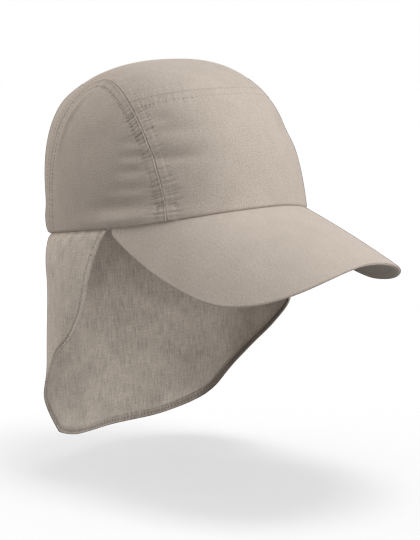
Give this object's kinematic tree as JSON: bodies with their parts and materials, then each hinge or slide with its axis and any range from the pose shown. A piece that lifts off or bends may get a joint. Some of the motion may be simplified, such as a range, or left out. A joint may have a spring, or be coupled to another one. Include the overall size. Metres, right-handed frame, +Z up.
{
  "type": "legionnaire cap",
  "caption": "Soft cloth sun cap with a sewn panel crown, a long curved peak and a hanging neck flap that shades the nape.",
  "frame": {"origin": "middle of the head opening, where the cap sits on a head", "axes": "+Z up as worn, -Y forward over the peak, -X towards the wearer's right"},
  "size_m": [0.1894, 0.2947, 0.284],
  "materials": {
    "crown_cloth": "matt beige woven cloth",
    "peak_cloth": "matt beige woven cloth over a board",
    "flap_cloth": "thin matt beige woven cloth"
  },
  "bodies": {
    "root": {"front_panel": "crown_cloth", "top_panel": "crown_cloth", "side_panel_right": "crown_cloth", "side_panel_left": "crown_cloth", "peak_upper": "peak_cloth", "peak_under": "peak_cloth", "neck_flap": "flap_cloth"}
  },
  "joints": []
}
